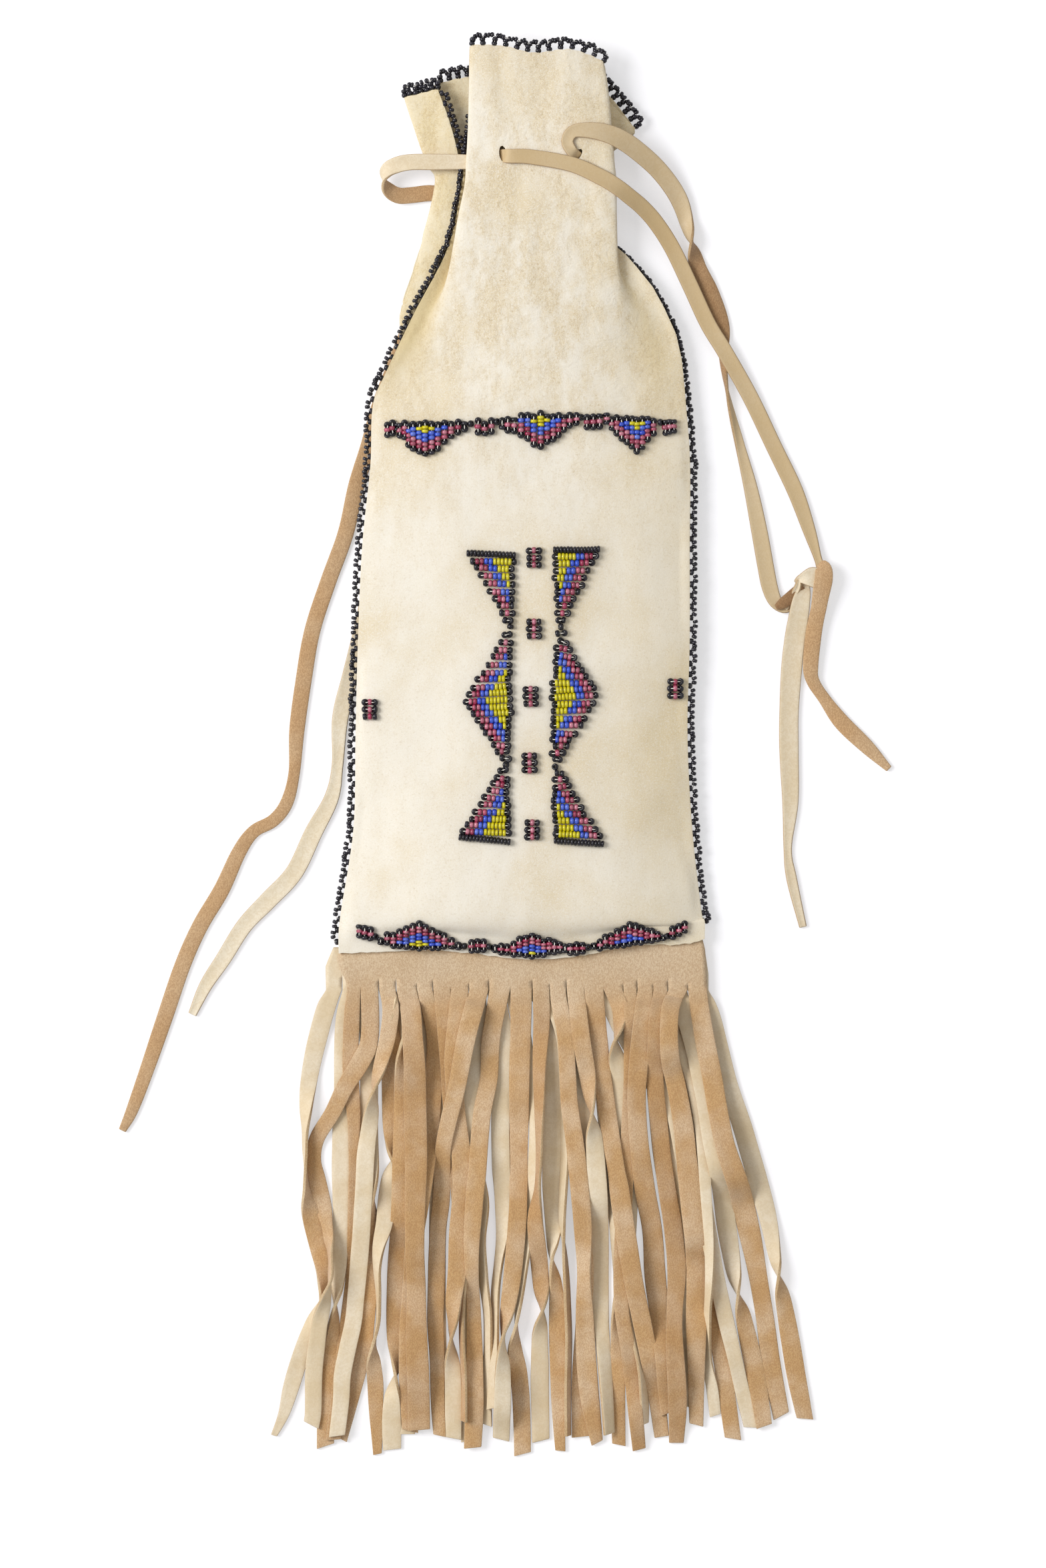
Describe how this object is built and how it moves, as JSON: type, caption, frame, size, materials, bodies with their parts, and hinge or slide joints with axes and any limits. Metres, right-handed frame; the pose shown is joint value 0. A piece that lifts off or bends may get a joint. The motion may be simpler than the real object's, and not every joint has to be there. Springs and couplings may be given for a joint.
{
  "type": "beaded pipe bag",
  "caption": "Long flat hide bag with a gathered neck, thong drawstrings, bead-edged seams, lane-stitched bead patterns and a cut fringe.",
  "frame": {"origin": "on the table face of the back panel, under the middle of the central bead pattern", "axes": "+Y along the bag from the fringe to the mouth, +Z out of the beaded front, +X to the right seen from the front; the bag lies on its back on the plane z = 0"},
  "size_m": [0.2658, 0.4886, 0.014],
  "materials": {
    "white_hide": "matte brain-tanned hide",
    "tan_suede": "napped suede side",
    "pale_suede": "smooth side, soft sheen",
    "thong_hide": "smooth one side, napped the other",
    "edge_beads": "opaque black glass, glossy",
    "lane_beads": "glass beads in black, rose, blue and yellow, glossy"
  },
  "bodies": {
    "bag": {"front_panel": "white_hide", "back_panel": "white_hide", "front_fringe_tab": "tan_suede", "back_fringe_tab": "pale_suede", "top_triangle_1": "lane_beads", "top_triangle_2": "lane_beads", "top_triangle_3": "lane_beads", "top_spacer_1": "lane_beads", "top_spacer_2": "lane_beads", "top_spacer_3": "lane_beads", "top_spacer_4": "lane_beads", "hem_triangle_1": "lane_beads", "hem_triangle_2": "lane_beads", "hem_triangle_3": "lane_beads", "hem_spacer_1": "lane_beads", "hem_spacer_2": "lane_beads", "hem_spacer_3": "lane_beads", "hem_spacer_4": "lane_beads", "left_upper_wing": "lane_beads", "left_diamond": "lane_beads", "left_lower_wing": "lane_beads", "right_upper_wing": "lane_beads", "right_diamond": "lane_beads", "right_lower_wing": "lane_beads", "centre_spacer_1": "lane_beads", "centre_spacer_2": "lane_beads", "centre_spacer_3": "lane_beads", "centre_spacer_4": "lane_beads", "centre_spacer_5": "lane_beads", "side_spacer_1": "lane_beads", "side_spacer_2": "lane_beads", "left_seam_beads": "edge_beads", "right_seam_beads": "edge_beads", "mouth_front_beads": "edge_beads", "mouth_back_beads": "edge_beads", "mouth_ear_beads": "edge_beads", "slit_back_beads": "edge_beads", "slit_front_beads": "edge_beads", "right_thong": "thong_hide", "looped_thong": "thong_hide", "left_long_thong": "thong_hide", "left_short_thong": "thong_hide", "right_long_tail": "thong_hide", "right_short_tail": "thong_hide", "thong_knot": "thong_hide"},
    "front_fringe": {"front_fringe": "tan_suede"},
    "back_fringe": {"back_fringe": "pale_suede"}
  },
  "joints": [
    {"name": "front_fringe_fold", "type": "hinge", "parent": "bag", "child": "front_fringe", "pos_m": [0, -0.09293, 0.00335], "axis": [-1, 0, 0], "range_deg": [0, 120]},
    {"name": "back_fringe_fold", "type": "hinge", "parent": "bag", "child": "back_fringe", "pos_m": [0, -0.09293, 0.00195], "axis": [1, 0, 0], "range_deg": [0, 120]}
  ]
}
